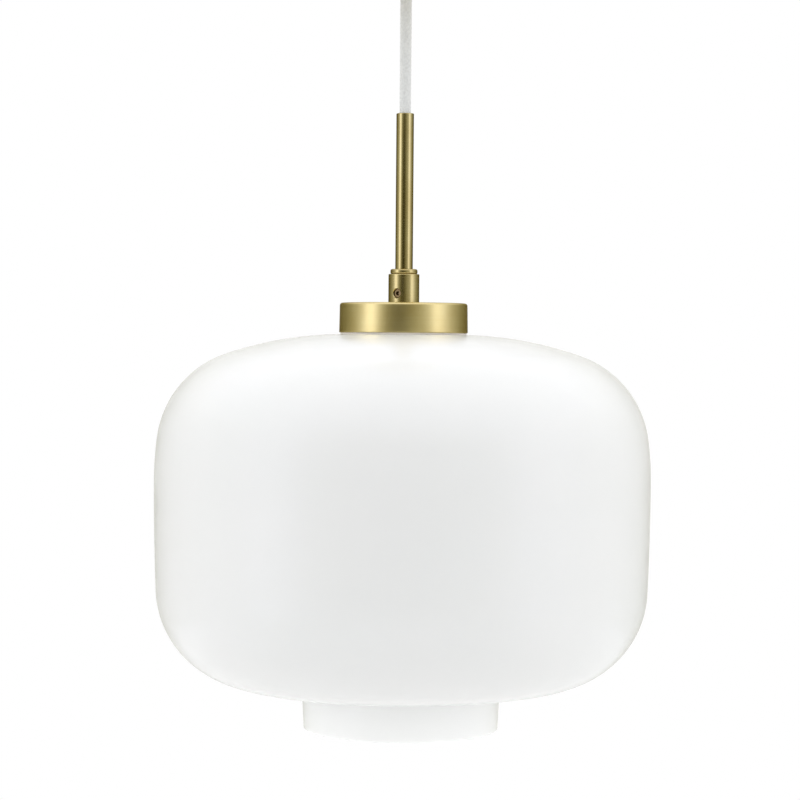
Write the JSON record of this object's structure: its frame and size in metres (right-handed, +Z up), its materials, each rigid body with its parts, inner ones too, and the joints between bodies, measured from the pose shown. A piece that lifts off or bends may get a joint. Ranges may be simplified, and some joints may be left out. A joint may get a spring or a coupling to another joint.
{
  "type": "pendant ceiling light",
  "caption": "Pendant ceiling light: an opal glass shade with a short open neck under a shallow brass cap, hung by a slim rod and a taut flex from a round canopy.",
  "frame": {"origin": "centre of the ceiling face, on the lamp's axis", "axes": "+Z up into the ceiling along the lamp's axis, -Y to the front"},
  "size_m": [0.3, 0.3, 0.4996],
  "materials": {
    "brushed_brass": "satin brushed, lacquered",
    "opal_glass": "glossy opal glass, white all through",
    "textile": "pale braided textile sleeve",
    "steel": "zinc plated",
    "dark_steel": "blackened",
    "nickel": "nickel plated",
    "terminal_brass": "bare drawn brass",
    "white_plastic": "moulded, fine texture",
    "porcelain": "glazed porcelain",
    "gasket_rubber": "matt silicone",
    "dark_insulator": "fused black glass",
    "brown_insulation": "smooth insulation",
    "blue_insulation": "smooth insulation",
    "earth_insulation": "green and yellow striped insulation",
    "board": "white solder mask on aluminium",
    "led_phosphor": "yellow phosphor gel",
    "diffuser": "milky diffuser"
  },
  "bodies": {
    "ceiling": {"ceiling_bracket": "steel", "canopy": "brushed_brass", "canopy_side_screws": "brushed_brass", "bracket_earth_screw": "steel", "cord_grip": "brushed_brass", "cord_grip_screw": "steel", "cord_grip_nut": "steel", "flex_in_canopy": "textile", "terminal_block": "white_plastic", "terminal_inserts": "terminal_brass", "terminal_screws": "steel", "terminal_block_screw": "steel", "canopy_core_brown": "brown_insulation", "canopy_core_blue": "blue_insulation", "canopy_core_earth": "earth_insulation", "bracket_earth_lead": "earth_insulation"},
    "cord": {"flex": "textile"},
    "pendant": {"down_rod": "brushed_brass", "rod_mouth_bush": "white_plastic", "rod_foot_ring": "brushed_brass", "clamp_collar": "brushed_brass", "collar_grub_screw": "dark_steel", "flex_in_rod": "textile", "nipple": "steel", "shade_cap": "brushed_brass", "nipple_washer": "steel", "nipple_locknut": "steel", "earth_tag": "terminal_brass", "earth_nut": "steel", "cap_gasket": "gasket_rubber", "glass_shade": "opal_glass", "ring_gasket": "gasket_rubber", "shade_ring": "white_plastic", "lampholder_dome": "white_plastic", "lampholder_skirt": "white_plastic", "lampholder_core": "porcelain", "screw_shell": "terminal_brass", "centre_contact": "terminal_brass", "side_contact": "terminal_brass", "lampholder_screws": "steel", "holder_core_brown": "brown_insulation", "holder_core_blue": "blue_insulation", "holder_core_earth": "earth_insulation"},
    "bulb_carriage": {"bulb_tip": "steel"},
    "bulb": {"bulb_insulator": "dark_insulator", "bulb_screw_cap": "nickel", "bulb_housing": "white_plastic", "led_board": "board", "leds": "led_phosphor", "bulb_diffuser": "diffuser"}
  },
  "joints": [
    {"name": "cord_swing", "type": "hinge", "parent": "ceiling", "child": "cord", "pos_m": [0, 0, -0.054], "axis": [0, 1, 0], "range_deg": [-12, 12]},
    {"name": "pendant_swing", "type": "hinge", "parent": "cord", "child": "pendant", "pos_m": [0, 0, -0.127], "axis": [1, 0, 0], "range_deg": [-12, 12]},
    {"name": "bulb_slide", "type": "slide", "parent": "pendant", "child": "bulb_carriage", "axis": [0, 0, -1], "range_m": [0, 0.0254]},
    {"name": "bulb_turn", "type": "hinge", "parent": "bulb_carriage", "child": "bulb", "pos_m": [0, 0, -0.3], "axis": [0, 0, -1], "range_deg": [0, 2525]}
  ],
  "couplings": [
    {"joint": "bulb_turn", "follows": "bulb_slide", "rad_per_m": 1731.6}
  ]
}
